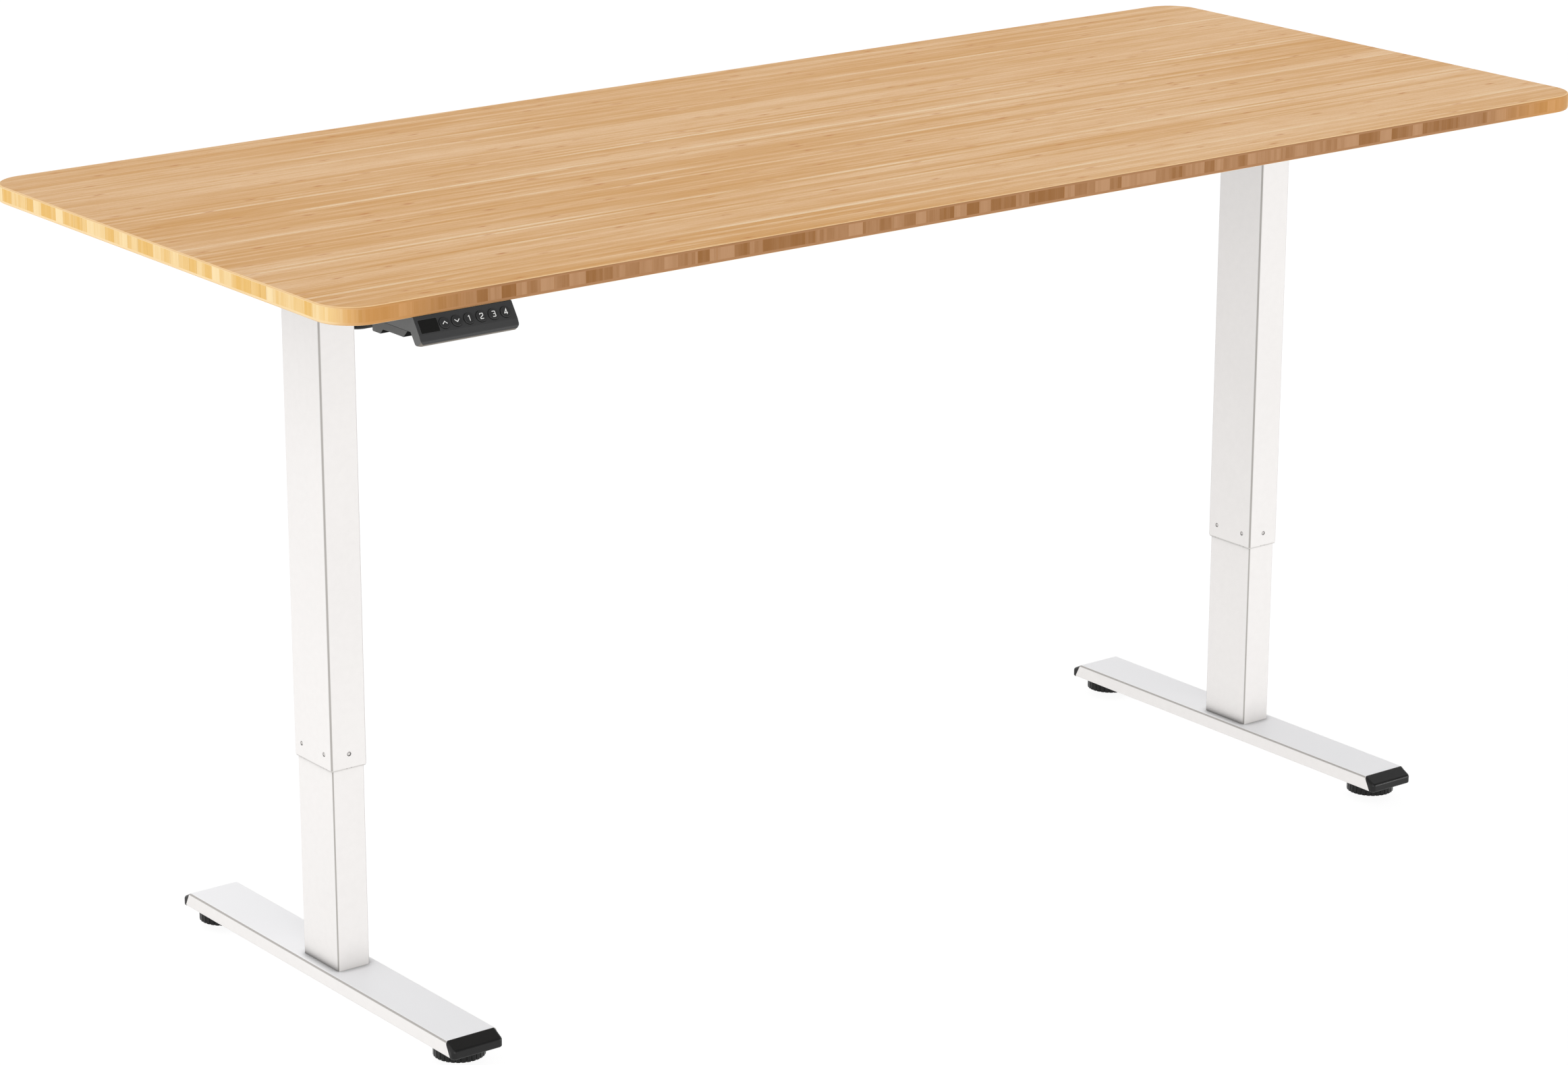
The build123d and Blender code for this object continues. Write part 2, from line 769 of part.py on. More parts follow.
control_bottom = underside - control_height
control_room_x = control_length - 2 * control_wall
control_room_y = control_depth - 2 * control_wall
post_spread_x = control_room_x - 2 * control_post_inset
post_spread_y = control_room_y - 2 * control_post_inset
socket_points = [(step * socket_pitch, 0) for step in (-1, 0, 1)]
socket_z = (control_bottom + control_wall + underside - control_plate) / 2
with BuildPart() as control_cover:
    with BuildSketch(level(control_x, control_y, control_bottom)):
        RectangleRounded(control_length, control_depth, control_r)
    extrude(amount=control_height - control_plate)
    fillet(control_cover.edges().group_by(Axis.Z)[0], control_edge_r)
    with BuildSketch(level(control_x, control_y, control_bottom + control_wall)):
        RectangleRounded(control_room_x, control_room_y, control_r - control_wall)
    extrude(amount=control_height, mode=Mode.SUBTRACT)
    with BuildSketch(level(control_x, control_y, control_bottom + control_wall)):
        with GridLocations(post_spread_x, post_spread_y, 2, 2):
            Circle(control_post_r)
    extrude(amount=control_post)
    with BuildSketch(across(control_x - control_length / 2, control_y, socket_z)):
        for point, (width, height) in zip(socket_points, socket_sizes):
            with Locations(point):
                Rectangle(width + 2 * seat_gap, height + 2 * seat_gap)
    extrude(amount=control_wall, mode=Mode.SUBTRACT)
save(control_cover, "control_box_cover")

with BuildPart() as control_board:
    with BuildSketch(level(control_x, control_y, control_bottom + control_wall + control_post)):
        Rectangle(control_room_x - control_post_inset, control_room_y - control_post_inset)
    extrude(amount=board_thick)
save(control_board, "control_board")

with BuildPart() as control_sockets:
    with BuildSketch(across(control_x - control_length / 2, control_y, socket_z)):
        for point, (width, height) in zip(socket_points, socket_sizes):
            with Locations(point):
                Rectangle(width, height)
    extrude(amount=control_wall + socket_depth)
    with BuildSketch(across(control_x - control_length / 2, control_y, socket_z)):
        for point, (width, height) in zip(socket_points, socket_sizes):
            with Locations(point):
                RectangleRounded(width - control_wall, height - control_wall, control_wall)
    extrude(amount=socket_depth, mode=Mode.SUBTRACT)
save(control_sockets, "control_sockets")

# Handset: sloping front slab, flange under the top and tray below it
handset_side = across(handset_x, front_edge, underside)
room = handset_width - 2 * handset_wall
with BuildPart() as handset:
    with BuildSketch(handset_side):
        with BuildLine():
            Polyline(
                (handset_setback, 0),
                crease,
                band_foot,
                slab_foot,
                slab_back,
                (handset_depth, -handset_flange),
                (handset_depth, 0),
                close=True,
            )
        make_face()
    extrude(amount=handset_width / 2, both=True)
    fillet(handset.edges().filter_by(Axis.X).group_by(Axis.Z)[0], handset_lip_r)
    with BuildSketch(panel):
        with Locations((0, handset_depth / 2 - handset_corner_end)):
            RectangleRounded(handset_width, handset_depth, handset_corner_r)
        with Locations((0, handset_depth)):
            Rectangle(handset_width, 2 * handset_depth - handset_corner_end)
    extrude(amount=handset_depth + handset_drop, both=True, mode=Mode.INTERSECT)
    with BuildSketch(level(handset_x, front_edge, underside - handset_flange)):
        with Locations((0, (slab_top + handset_wall + handset_depth - handset_solid_back) / 2)):
            Rectangle(room, handset_depth - handset_solid_back - slab_top - handset_wall)
    extrude(amount=handset_flange - handset_wall, mode=Mode.SUBTRACT)
    with BuildSketch(panel.offset(-handset_wall)):
        with Locations((0, -handset_wall - board_height / 2)):
            Rectangle(room, board_height)
    extrude(amount=handset_wall - board_room, mode=Mode.SUBTRACT)
    with BuildSketch(panel):
        with Locations((window_x, -panel_middle)):
            RectangleRounded(window_width, window_height, handset_edge_r)
    extrude(amount=-window_thick, mode=Mode.SUBTRACT)
    with BuildSketch(panel):
        with Locations(*button_points):
            Circle(button_r + slide_gap)
    extrude(amount=-handset_wall, mode=Mode.SUBTRACT)
    with BuildSketch(level(0, 0, underside - handset_flange)):
        with Locations(*handset_screw_points):
            Circle(wood_screw_r + seat_gap)
    extrude(amount=handset_flange, mode=Mode.SUBTRACT)
save(handset, "handset_body")

tray_top = -handset_flange - parting_gap
tray_foot_front = handset_depth - tray_foot
with BuildPart() as tray:
    with BuildSketch(handset_side):
        Polygon(
            (tray_front, tray_top),
            (tray_front + tray_chamfer, -tray_drop),
            (tray_foot_front - tray_foot_slope, -tray_drop),
            (tray_foot_front, -tray_foot_drop),
            (handset_depth - handset_edge_r, -tray_foot_drop),
            (handset_depth, -tray_foot_drop + handset_edge_r),
            (handset_depth, tray_top),
            align=None,
        )
    extrude(amount=handset_width / 2, both=True)
    with BuildSketch(level(handset_x, front_edge, underside + tray_top)):
        with Locations((0, (tray_front + tray_chamfer + tray_foot_front - tray_foot_slope) / 2)):
            Rectangle(room, tray_foot_front - tray_foot_slope - tray_front - tray_chamfer)
    extrude(amount=-(tray_drop + tray_top - handset_wall), mode=Mode.SUBTRACT)
    with BuildSketch(level(0, 0, underside + tray_top)):
        with Locations(*handset_screw_points):
            Circle(wood_screw_r + seat_gap)
    extrude(amount=-tray_foot_drop, mode=Mode.SUBTRACT)
    with BuildSketch(level(0, 0, underside - tray_drop)):
        with Locations(*handset_screw_points):
            Circle(wood_screw_head_r + seat_gap)
    extrude(amount=-tray_foot_drop, mode=Mode.SUBTRACT)
save(tray, "handset_tray")

with BuildPart() as window:
    with BuildSketch(panel):
        with Locations((window_x, -panel_middle)):
            RectangleRounded(
                window_width - 2 * seat_gap, window_height - 2 * seat_gap, handset_edge_r
            )
    extrude(amount=-window_thick)
save(window, "display_window")

# Buttons, each held behind the panel by its flange
for name, spot in zip(button_names, button_points):
    with BuildPart() as button:
        with BuildSketch(panel.offset(-flange_depth)):
            with Locations(spot):
                Circle(button_r)
        extrude(amount=flange_depth + button_proud)
        fillet(button.faces().sort_by(Axis(panel.origin, panel.z_dir))[-1].edges(), button_edge_r)
        with BuildSketch(panel.offset(-flange_depth)):
            with Locations(spot):
                Circle(button_flange_r)
        extrude(amount=-button_flange)
        with BuildSketch(panel.offset(-flange_depth - button_flange)):
            with Locations(spot):
                Circle(button_stem_r)
        extrude(amount=-button_stem)
    save(button, f"button_{name}")

# Circuit board inside the slab, with a switch under each button
with BuildPart() as board:
    with BuildSketch(panel.offset(-board_depth)):
        with Locations((0, -handset_wall - board_height / 2)):
            Rectangle(room - 2 * board_margin, board_height - 2 * board_margin)
    extrude(amount=-board_thick)
save(board, "handset_board")

with BuildPart() as switches:
    with BuildSketch(panel.offset(-board_depth)):
        with Locations(*button_points):
            Rectangle(switch_side, switch_side)
    extrude(amount=switch_height)
save(switches, "button_switches")
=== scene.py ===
"""Looks of the height adjustable standing desk: bamboo top, white columns and feet, black handset."""

import json
from math import cos, radians, sin

import bmesh
import bpy
from mathutils import Matrix, Vector


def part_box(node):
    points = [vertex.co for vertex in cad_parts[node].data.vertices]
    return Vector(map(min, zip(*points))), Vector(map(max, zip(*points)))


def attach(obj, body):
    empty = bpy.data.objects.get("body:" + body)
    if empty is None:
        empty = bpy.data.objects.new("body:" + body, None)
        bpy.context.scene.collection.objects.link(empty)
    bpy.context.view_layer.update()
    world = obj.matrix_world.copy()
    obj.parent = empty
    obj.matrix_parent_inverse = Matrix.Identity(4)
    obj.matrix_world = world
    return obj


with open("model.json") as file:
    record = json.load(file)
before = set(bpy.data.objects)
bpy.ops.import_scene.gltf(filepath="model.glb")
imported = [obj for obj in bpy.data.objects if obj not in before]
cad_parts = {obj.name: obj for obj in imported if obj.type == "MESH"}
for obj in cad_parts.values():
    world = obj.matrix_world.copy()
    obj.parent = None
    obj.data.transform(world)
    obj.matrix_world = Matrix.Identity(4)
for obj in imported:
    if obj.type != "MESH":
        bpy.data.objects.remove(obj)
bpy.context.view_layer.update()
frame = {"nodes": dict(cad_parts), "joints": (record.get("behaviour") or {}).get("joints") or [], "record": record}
cad = frame["nodes"]
joints = {joint["name"]: joint for joint in frame["joints"]}
top_low, top_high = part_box("desktop")
top_middle_y = (top_low.y + top_high.y) / 2

# Camera of the photograph: place in metres from the middle of the desk, heading in degrees from +Y
# towards +X, and the lens in pixels of the picture
image_width = 2324
image_height = 1578
camera_from_desk = Vector((-3.3167, -4.2619, 2.0757))
camera_heading = 37.106
camera_pitch = -17.901
focal_pixels = 6803.6
principal_x = 1121.0
principal_y = 885.6
sensor_width = 36.0
view_reach = 100

# Bamboo strips and edge blocks, in metres
strip_width = 0.0062
node_pitch = 0.30
node_mark = 0.026
block_width = 0.018
sliver_width = 0.005
top_ply = 0.0029
end_top_ply = 0.0017
bottom_ply = 0.0037
ply_blend = 0.0004
corner_start = 0.03
corner_reach = 0.20

# Bamboo grain: changes of shade in a metre along X, Y and Z, the first for each strip by itself
strip_grain = (2.4, 1.0, 1.0)
band_grain = (1.0, 9.0, 1.0)
wave_grain = (1.6, 34.0, 1.0)
line_grain = (8.0, 300.0, 1.0)
fibre_grain = (26.0, 640.0, 1.0)
fleck_grain = (230.0, 1500.0, 1.0)
ragged_grain = (60.0, 1100.0, 1.0)

# Grain of the edges: changes of shade in a metre along the edge and up it, and from block to block
upright_grain = (700.0, 30.0, 40.0)
block_grain = (45.0, 6.0, 9.0)
ply_grain = (14.0, 1500.0, 0.0)

# How far the grain and the nodes of one strip are shifted against the next, and how much marks show
strip_shift = 40.0
node_shift = 5.0
streak_share = 0.75
mark_share = 0.9
mark_relief = 0.1
# Share of the painted highlight along the arris
arris_highlight_share = 0.85

# Surface of the bamboo: relief in metres, its strength and its shine
bamboo_relief = 0.00006
bamboo_relief_strength = 0.6
bamboo_specular = 0.05

# Studio: half the floor's side and its depth below the glides in metres, which leaves them room
# to screw out, then its paint, its roughness, its glow as a light and its white
floor_half = 40.0
floor_drop = 0.0102
floor_colour = (0.12, 0.12, 0.12, 1.0)
floor_roughness = 0.9
floor_glow = 0.76
floor_white = 0.93

# White surroundings, which are dim around one direction at the front right
white = (1.0, 1.0, 1.0, 1.0)
sky_light = 1.08
sky_dim = 0.24
dim_direction = Vector((0.55, -0.52, 0.65)).normalized()
dim_starts = 0.62
dim_full = 0.92

# Softboxes: place, aim, width and height in metres, and power in watts
softboxes = {
    "softbox_right": ((5.5, -5.0, 0.9), (0, 0, 0.6), 2.6, 1.8, 115),
    "softbox_front": ((-3.5, -5.5, 1.0), (0, 0, 0.6), 2.6, 1.8, 60),
    "reflector_left": ((-2.2, 1.6, 0.02), (-2.2, 1.6, 1.0), 2.4, 2.4, 8),
}

# Painted shade of the round corners on the right, as a share of that on the left
right_corner_share = 0.4

# Part of a normal along an axis from which a face counts as square to it, and in full
square_starts = 0.6
square_full = 0.95

# Rays that look for edges and for shelter, which sets the painted shade where surfaces close in
edge_rays = 4
shelter_rays = 8

# Legends on the buttons and the depth of a button's flat face, in metres
legend_stroke = 0.0009
legend_rise = 0.00008
face_depth = 1e-5

millimetres_in_metre = 1000


def tone(red, green, blue):
    """Linear colour of a screen colour given from 0 to 255."""
    linear = []
    for value in (red, green, blue):
        share = value / 255
        linear.append(share / 12.92 if share <= 0.04045 else ((share + 0.055) / 1.055) ** 2.4)
    return (*linear, 1.0)


# Tones of the bamboo
bamboo_light = tone(238, 198, 152)
bamboo_dark = tone(216, 160, 90)
bamboo_pale = tone(242, 207, 162)
bamboo_fibre = tone(209, 148, 76)
bamboo_node = tone(197, 120, 44)
bamboo_streak = tone(246, 217, 178)
# Painted highlight along the arris
arris_highlight = tone(252, 218, 166)
bamboo_bounce = tone(172, 169, 166)
end_light = tone(246, 221, 172)
end_dark = tone(230, 184, 104)
end_ply = tone(247, 221, 176)
front_light = tone(186, 143, 106)
front_dark = tone(150, 103, 59)
front_ply = tone(176, 130, 92)
corner_tone = tone(224, 164, 92)
edge_joint = tone(160, 104, 44)


# Shader nodes

# Sockets of a colour mix: its share, its two colours and its result
mix_share = 0
mix_first = 6
mix_second = 7
mix_result = 2


def node(tree, kind, inputs=None, **settings):
    """New shader node. An input is a constant, or a socket to link."""
    made = tree.nodes.new("ShaderNode" + kind)
    for name, value in settings.items():
        setattr(made, name, value)
    for key, value in (inputs or {}).items():
        if isinstance(value, bpy.types.NodeSocket):
            tree.links.new(value, made.inputs[key])
        else:
            made.inputs[key].default_value = value
    return made


def calc(tree, operation, *values):
    """Result of an operation on constants or sockets."""
    made = node(tree, "Math", dict(enumerate(values)), operation=operation)
    return made.outputs[0]


def ramp(tree, value, low, high, start=0.0, end=1.0):
    """Smooth step of a value between low and high, from start to end."""
    inputs = {"Value": value, "From Min": low, "From Max": high, "To Min": start, "To Max": end}
    return node(tree, "MapRange", inputs, interpolation_type="SMOOTHSTEP").outputs["Result"]


def mixed(tree, share, first, second):
    """Colour between two, by share."""
    inputs = {mix_share: share, mix_first: first, mix_second: second}
    return node(tree, "Mix", inputs, data_type="RGBA").outputs[mix_result]


def noise(tree, place, scale, detail):
    """Cloudy change from 0 to 1, with more fine structure for more detail."""
    inputs = {"Vector": place, "Scale": scale, "Detail": detail}
    return node(tree, "TexNoise", inputs).outputs["Fac"]


def streaks(tree, place, changes, detail):
    """Noise with its own number of changes in a metre along each axis."""
    stretched = node(tree, "Mapping", {"Vector": place, "Scale": changes}).outputs["Vector"]
    return noise(tree, stretched, 1.0, detail)


def axes(tree, vector):
    """Parts of a vector along X, Y and Z."""
    return node(tree, "SeparateXYZ", {"Vector": vector}).outputs


def dot(tree, first, second):
    """Dot product of two vectors."""
    made = node(tree, "VectorMath", {0: first, 1: second}, operation="DOT_PRODUCT")
    return made.outputs["Value"]


def new_group(name, inputs, outputs):
    """Shader node group with its sockets: the tree, its input sockets and its output node."""
    tree = bpy.data.node_groups.new(name, "ShaderNodeTree")
    for label, value in inputs.items():
        socket = tree.interface.new_socket(label, in_out="INPUT", socket_type="NodeSocketFloat")
        socket.default_value = value
    for label, kind in outputs.items():
        tree.interface.new_socket(label, in_out="OUTPUT", socket_type="NodeSocket" + kind)
    taken = tree.nodes.new("NodeGroupInput").outputs
    given = tree.nodes.new("NodeGroupOutput")
    return tree, taken, given


def use_group(tree, group, **inputs):
    """Outputs of a group that is placed in a tree with values of its own."""
    made = tree.nodes.new("ShaderNodeGroup")
    made.node_tree = group
    for label, value in inputs.items():
        made.inputs[label.replace("_", " ")].default_value = value
    return made.outputs


def grain_group():
    """Fine moulded or sprayed texture: a rough or glossy patchiness and a small relief."""
    inputs = {"Size": 0.0008, "Depth": 0.00004, "Gloss": 0.5, "Gloss Spread": 0.1, "Edge": 0.0004}
    tree, taken, given = new_group("fine grain", inputs, {"Roughness": "Float", "Normal": "Vector"})
    place = node(tree, "TexCoord").outputs["Object"]
    pitch = calc(tree, "DIVIDE", 1.0, taken["Size"])
    fine = noise(tree, place, pitch, 3.0)
    broad = noise(tree, place, 9.0, 4.0)
    patch = calc(tree, "ADD", calc(tree, "MULTIPLY", fine, 0.5), calc(tree, "MULTIPLY", broad, 0.5))
    lift = calc(tree, "MULTIPLY", calc(tree, "SUBTRACT", patch, 0.5), taken["Gloss Spread"])
    rough = calc(tree, "ADD", taken["Gloss"], calc(tree, "MULTIPLY", lift, 2.0))
    rounded = node(tree, "Bevel", {"Radius": taken["Edge"]}, samples=edge_rays).outputs["Normal"]
    relief = node(tree, "Bump", {"Distance": taken["Depth"], "Height": fine, "Normal": rounded})
    tree.links.new(rough, given.inputs["Roughness"])
    tree.links.new(relief.outputs["Normal"], given.inputs["Normal"])
    return tree


def edge_wear_and_light_group():
    """Mask of the sharp edges, where handling polishes or thins a finish, and where some finishes carry a painted
    highlight or a painted shade instead.
    """
    tree, taken, given = new_group("edges", {"Reach": 0.0008, "Break": 60.0}, {"Mask": "Float"})
    rounded = node(tree, "Bevel", {"Radius": taken["Reach"]}, samples=edge_rays).outputs["Normal"]
    plain = node(tree, "NewGeometry").outputs["Normal"]
    turned = ramp(tree, calc(tree, "SUBTRACT", 1.0, dot(tree, rounded, plain)), 0.02, 0.22)
    place = node(tree, "TexCoord").outputs["Object"]
    broken = noise(tree, place, taken["Break"], 3.0)
    mask = calc(tree, "MULTIPLY", turned, ramp(tree, broken, 0.3, 0.62, 0.35, 1.0))
    tree.links.new(mask, given.inputs["Mask"])
    return tree


def drift_group():
    """Slow and fine change of shade over a surface, from 0 to 1."""
    inputs = {"Broad": 3.0, "Fine": 120.0, "Fine Share": 0.35}
    tree, taken, given = new_group("shade drift", inputs, {"Shade": "Float"})
    place = node(tree, "TexCoord").outputs["Object"]
    slow = noise(tree, place, taken["Broad"], 3.0)
    quick = noise(tree, place, taken["Fine"], 2.0)
    apart = calc(tree, "MULTIPLY", calc(tree, "SUBTRACT", quick, slow), taken["Fine Share"])
    tree.links.new(calc(tree, "ADD", slow, apart), given.inputs["Shade"])
    return tree


def painted_light_by_facing_group():
    """Masks by the way a surface faces, for painted light and shade: round corners, ends along X, tops and
    undersides.
    """
    masks = ("Corners", "Ends", "Tops", "Undersides")
    tree, _, given = new_group("painted_light_by_facing", {}, dict.fromkeys(masks, "Float"))
    normal = axes(tree, node(tree, "TexCoord").outputs["Normal"])
    rightward, _, upward = normal
    x, y, z = [calc(tree, "ABSOLUTE", part) for part in normal]
    squarest = calc(tree, "MAXIMUM", x, calc(tree, "MAXIMUM", y, z))
    round_corner = ramp(tree, squarest, 0.87, 0.985, 1.0, 0.0)
    side = ramp(tree, rightward, -0.3, -0.05, 1.0, right_corner_share)
    shown = calc(tree, "MULTIPLY", side, ramp(tree, upward, -0.4, -0.1))
    corners = calc(tree, "MULTIPLY", round_corner, shown)
    tree.links.new(corners, given.inputs["Corners"])
    tree.links.new(ramp(tree, x, square_starts, square_full), given.inputs["Ends"])
    tree.links.new(ramp(tree, upward, 0.9, 0.99), given.inputs["Tops"])
    tree.links.new(ramp(tree, upward, -0.6, -0.25, 1.0, 0.0), given.inputs["Undersides"])
    return tree


def crevice_shade_group():
    """Mask of painted shade at the places that other surfaces close in on, apart from undersides."""
    inputs = {"Reach": 0.008, "Open": 0.95, "Closed": 0.45, "Front Loss": 0.0, "Top Loss": 0.0}
    tree, taken, given = new_group("crevice_shade_mask", inputs, {"Mask": "Float"})
    shelter = node(tree, "AmbientOcclusion", {"Distance": taken["Reach"]}, samples=shelter_rays)
    mask = ramp(tree, shelter.outputs["AO"], taken["Closed"], taken["Open"], 1.0, 0.0)
    normal = axes(tree, node(tree, "TexCoord").outputs["Normal"])
    for facing_part, loss in ((normal[1], "Front Loss"), (normal[2], "Top Loss")):
        square = ramp(tree, calc(tree, "ABSOLUTE", facing_part), square_starts, square_full)
        kept = calc(tree, "SUBTRACT", 1.0, calc(tree, "MULTIPLY", square, taken[loss]))
        mask = calc(tree, "MULTIPLY", mask, kept)
    mask = calc(tree, "MULTIPLY", mask, ramp(tree, normal[2], -0.4, -0.05))
    tree.links.new(mask, given.inputs["Mask"])
    return tree


grain = grain_group()
edges = edge_wear_and_light_group()
drift = drift_group()
painted_light_by_facing = painted_light_by_facing_group()
crevice_shade_mask = crevice_shade_group()


def new_material(name):
    """Empty material with a Principled shader. Returns the material, its tree and the shader."""
    material = bpy.data.materials.new(name)
    material.use_nodes = True
    tree = material.node_tree
    tree.nodes.clear()
    shader = node(tree, "BsdfPrincipled")
    output = node(tree, "OutputMaterial")
    tree.links.new(shader.outputs["BSDF"], output.inputs["Surface"])
    return material, tree, shader


def finish(
    name,
    dark,
    light,
    edge=None,
    crevice_shade=None,
    faces=None,
    grain_values=None,
    drift_values=None,
    edge_values=None,
    crevice_shade_values=None,
    **plain,
):
    """Sprayed, moulded or cast finish: shade between two colours, with grain, a tone on the sharp edges that is
    wear on some finishes and painted highlight or shade on others, and painted shade where surfaces close in.

    faces gives painted light or shade, as a tone of its own, to any of the masks by the way a surface faces.
    """
    material, tree, shader = new_material(name)
    shade = use_group(tree, drift, **(drift_values or {}))["Shade"]
    colour = mixed(tree, ramp(tree, shade, 0.25, 0.75), dark, light)
    # Painted light and shade by the way a surface faces
    for mask, painted_light_tone in (faces or {}).items():
        colour = mixed(tree, use_group(tree, painted_light_by_facing)[mask], colour, painted_light_tone)
    # Sharp edges: worn on some finishes, painted highlight or painted shade on others
    if edge:
        mask = use_group(tree, edges, **(edge_values or {}))["Mask"]
        colour = mixed(tree, mask, colour, edge)
    # Painted shade where other surfaces close in
    if crevice_shade:
        mask = use_group(tree, crevice_shade_mask, **(crevice_shade_values or {}))["Mask"]
        colour = mixed(tree, mask, colour, crevice_shade)
    surface = use_group(tree, grain, **(grain_values or {}))
    tree.links.new(colour, shader.inputs["Base Color"])
    tree.links.new(surface["Roughness"], shader.inputs["Roughness"])
    tree.links.new(surface["Normal"], shader.inputs["Normal"])
    for label, value in plain.items():
        shader.inputs[label.replace("_", " ")].default_value = value
    return material


def striped(tree, along, width, randomness):
    """Strips of about a width: three random values for each strip, and the distance to its edge."""
    inputs = {"W": along, "Scale": 1 / width, "Randomness": randomness}
    cell = node(tree, "TexVoronoi", inputs, voronoi_dimensions="1D").outputs["Color"]
    gap = node(tree, "TexVoronoi", inputs, voronoi_dimensions="1D", feature="DISTANCE_TO_EDGE")
    return axes(tree, cell), gap.outputs["Distance"]


def weighed(tree, *pairs):
    """Sum of values, each times its weight."""
    total = 0.0
    for value, weight in pairs:
        total = calc(tree, "MULTIPLY_ADD", value, weight, total)
    return total


def bamboo_face(tree, place):
    """Colour and height of the strips on the top and bottom faces, which run along X."""
    x, y, _ = axes(tree, place)
    (pick, phase, kind), seam = striped(tree, y, strip_width, 0.5)
    shifted = calc(tree, "MULTIPLY", phase, strip_shift)
    own = node(tree, "CombineXYZ", {"X": x, "Y": shifted}).outputs["Vector"]
    along_strip = streaks(tree, own, strip_grain, 3.0)
    bands = streaks(tree, place, band_grain, 2.0)
    waves = streaks(tree, place, wave_grain, 3.0)
    lines = streaks(tree, place, line_grain, 3.0)
    fibres = streaks(tree, place, fibre_grain, 3.0)
    flecks = streaks(tree, place, fleck_grain, 1.0)
    ragged = streaks(tree, place, ragged_grain, 2.0)

    slow = weighed(tree, (bands, 0.50), (waves, 0.46))
    tint = weighed(tree, (slow, 1.0), (pick, 0.16), (along_strip, 0.36), (lines, 0.30))
    colour = mixed(tree, ramp(tree, tint, 0.67, 1.09), bamboo_dark, bamboo_light)
    colour = mixed(tree, ramp(tree, lines, 0.54, 0.72, 0.0, 0.40), colour, bamboo_pale)
    picked = ramp(tree, pick, 0.86, 0.92)
    pale_strip = calc(tree, "MULTIPLY", picked, ramp(tree, along_strip, 0.40, 0.60))
    colour = mixed(tree, calc(tree, "MULTIPLY", pale_strip, streak_share), colour, bamboo_streak)
    colour = mixed(tree, ramp(tree, fibres, 0.50, 0.74, 0.0, 0.42), colour, bamboo_fibre)
    colour = mixed(tree, ramp(tree, flecks, 0.56, 0.68, 0.0, 0.30), colour, bamboo_fibre)
    colour = mixed(tree, ramp(tree, seam, 0.0, 0.10, 0.20, 0.0), colour, bamboo_fibre)

    turn = weighed(tree, (x, 1 / node_pitch), (phase, node_shift))
    away = calc(tree, "ABSOLUTE", calc(tree, "SUBTRACT", calc(tree, "FRACT", turn), 0.5))
    near = ramp(tree, calc(tree, "MULTIPLY", away, node_pitch), 0.0, node_mark / 2, 1.0, 0.0)
    wanted = calc(tree, "MULTIPLY", ramp(tree, kind, 0.55, 0.70), ramp(tree, seam, 0.05, 0.3))
    whole_mark = calc(tree, "MULTIPLY", near, wanted)
    mark = calc(tree, "MULTIPLY", whole_mark, ramp(tree, ragged, 0.36, 0.58))
    colour = mixed(tree, calc(tree, "MULTIPLY", mark, mark_share), colour, bamboo_node)
    height = calc(tree, "SUBTRACT", fibres, calc(tree, "MULTIPLY", mark, mark_relief))
    return colour, height


def bamboo_edge(tree, place, normal):
    """Colour of the edges: blocks of the core between two thin plies."""
    x, y, z = axes(tree, place)
    along = calc(tree, "SUBTRACT", y, x)
    (pick, shift, kind), gap = striped(tree, along, block_width, 1.0)
    (thin, _, _), _ = striped(tree, along, sliver_width, 0.9)
    spot = node(tree, "CombineXYZ", {"X": along, "Y": z, "Z": shift}).outputs["Vector"]
    upright = streaks(tree, spot, upright_grain, 2.0)
    shade = streaks(tree, spot, block_grain, 1.0)
    lengthwise = streaks(tree, spot, ply_grain, 2.0)

    end_facing = ramp(tree, calc(tree, "ABSOLUTE", axes(tree, normal)[0]), 0.1, 1.0)
    turning = calc(tree, "MULTIPLY", end_facing, calc(tree, "SUBTRACT", 1.0, end_facing))
    light = mixed(tree, end_facing, front_light, end_light)
    dark = mixed(tree, end_facing, front_dark, end_dark)
    ply = mixed(tree, end_facing, front_ply, end_ply)

    tint = weighed(tree, (pick, 0.60), (thin, 0.20), (upright, 0.24), (shade, 0.30))
    core = mixed(tree, ramp(tree, tint, 0.28, 1.04), dark, light)
    at_joint = ramp(tree, gap, 0.0, 0.03, 0.6, 0.0)
    joint = calc(tree, "MULTIPLY", at_joint, ramp(tree, kind, 0.55, 0.75))
    core = mixed(tree, joint, core, edge_joint)
    plies = mixed(tree, ramp(tree, lengthwise, 0.35, 0.65, 0.0, 0.3), ply, dark)

    soft = ply_blend / 2
    ply_bottom = ramp(tree, end_facing, 0.0, 1.0, top_high.z - top_ply, top_high.z - end_top_ply)
    over = ramp(tree, calc(tree, "SUBTRACT", z, ply_bottom), -soft, soft)
    under = ramp(tree, z, top_low.z + bottom_ply - soft, top_low.z + bottom_ply + soft, 1.0, 0.0)
    colour = mixed(tree, calc(tree, "MAXIMUM", over, under), core, plies)
    to_end = calc(tree, "SUBTRACT", top_high.x, calc(tree, "ABSOLUTE", x))
    warmed = ramp(tree, to_end, corner_start, corner_reach, 0.55, 0.0)
    warmed = calc(tree, "MULTIPLY", warmed, calc(tree, "SUBTRACT", 1.0, end_facing))
    share = calc(tree, "MAXIMUM", calc(tree, "MULTIPLY", turning, 2.0), warmed)
    return mixed(tree, share, colour, corner_tone)


